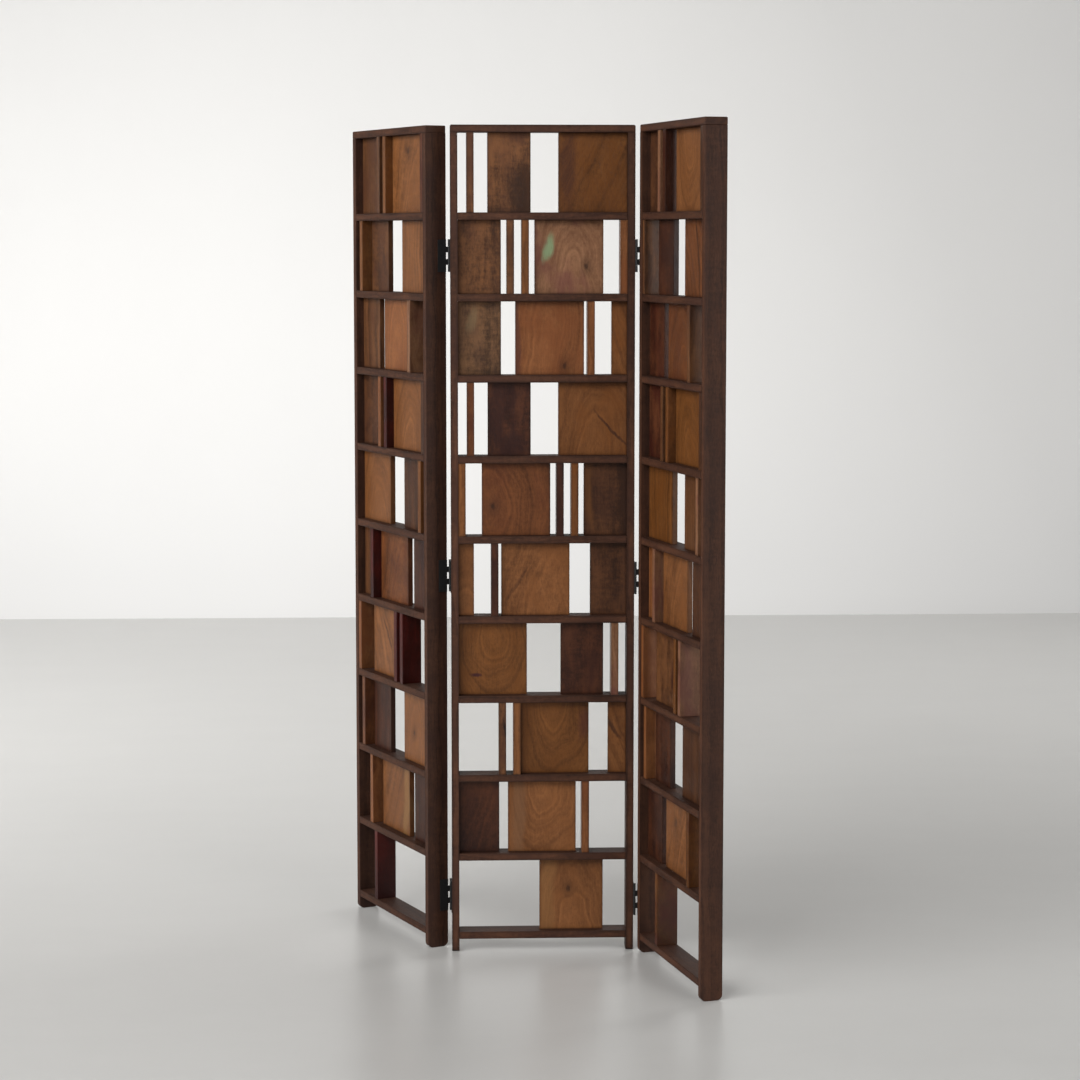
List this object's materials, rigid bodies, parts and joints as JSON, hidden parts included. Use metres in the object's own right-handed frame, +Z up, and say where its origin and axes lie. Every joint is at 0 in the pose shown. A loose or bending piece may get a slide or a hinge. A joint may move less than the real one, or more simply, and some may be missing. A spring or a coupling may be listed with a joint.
{
  "type": "folding screen",
  "caption": "Hinged wooden folding room divider: framed panels divided by rails into rows of upright blocks and slats with gaps, standing in a zigzag.",
  "frame": {"origin": "middle of the overall bounding box on the floor, with the screen standing folded as at rest", "axes": "+X along the middle panel from its left end to its right end, +Y towards the back of the middle panel, +Z up"},
  "size_m": [0.7724, 0.8038, 1.8],
  "materials": {
    "frame_wood": "satin dark espresso stain",
    "block_wood": "satin lacquer over mixed brown, tan and dark purple-brown timber",
    "hinge_metal": "matt black"
  },
  "bodies": {
    "left_panel": {"left_panel_left_stile": "frame_wood", "left_panel_right_stile": "frame_wood", "left_panel_top_rail": "frame_wood", "left_panel_bottom_rail": "frame_wood", "left_panel_shelf_rails": "frame_wood", "left_panel_row_01": "block_wood", "left_panel_row_02": "block_wood", "left_panel_row_03": "block_wood", "left_panel_row_04": "block_wood", "left_panel_row_05": "block_wood", "left_panel_row_06": "block_wood", "left_panel_row_07": "block_wood", "left_panel_row_08": "block_wood", "left_panel_row_09": "block_wood", "left_panel_row_10": "block_wood", "left_panel_leaves": "hinge_metal", "left_panel_hinge_screws": "hinge_metal"},
    "middle_panel": {"middle_panel_left_stile": "frame_wood", "middle_panel_right_stile": "frame_wood", "middle_panel_top_rail": "frame_wood", "middle_panel_bottom_rail": "frame_wood", "middle_panel_shelf_rails": "frame_wood", "middle_panel_row_01": "block_wood", "middle_panel_row_02": "block_wood", "middle_panel_row_03": "block_wood", "middle_panel_row_04": "block_wood", "middle_panel_row_05": "block_wood", "middle_panel_row_06": "block_wood", "middle_panel_row_07": "block_wood", "middle_panel_row_08": "block_wood", "middle_panel_row_09": "block_wood", "middle_panel_row_10": "block_wood", "middle_panel_left_leaves": "hinge_metal", "middle_panel_left_hinge_screws": "hinge_metal", "middle_panel_right_leaves": "hinge_metal", "middle_panel_right_hinge_screws": "hinge_metal", "left_hinge_pins": "hinge_metal", "right_hinge_pins": "hinge_metal"},
    "right_panel": {"right_panel_left_stile": "frame_wood", "right_panel_right_stile": "frame_wood", "right_panel_top_rail": "frame_wood", "right_panel_bottom_rail": "frame_wood", "right_panel_shelf_rails": "frame_wood", "right_panel_row_01": "block_wood", "right_panel_row_02": "block_wood", "right_panel_row_03": "block_wood", "right_panel_row_04": "block_wood", "right_panel_row_05": "block_wood", "right_panel_row_06": "block_wood", "right_panel_row_07": "block_wood", "right_panel_row_08": "block_wood", "right_panel_row_09": "block_wood", "right_panel_row_10": "block_wood", "right_panel_leaves": "hinge_metal", "right_panel_hinge_screws": "hinge_metal"}
  },
  "joints": [
    {"name": "left_fold", "type": "hinge", "parent": "middle_panel", "child": "left_panel", "pos_m": [-0.16886, 0.04243, 0.825], "axis": [0, 0, 1], "range_deg": [-115, 65]},
    {"name": "right_fold", "type": "hinge", "parent": "middle_panel", "child": "right_panel", "pos_m": [0.23304, -0.01707, 0.825], "axis": [0, 0, 1], "range_deg": [-104.7, 75.3]}
  ]
}
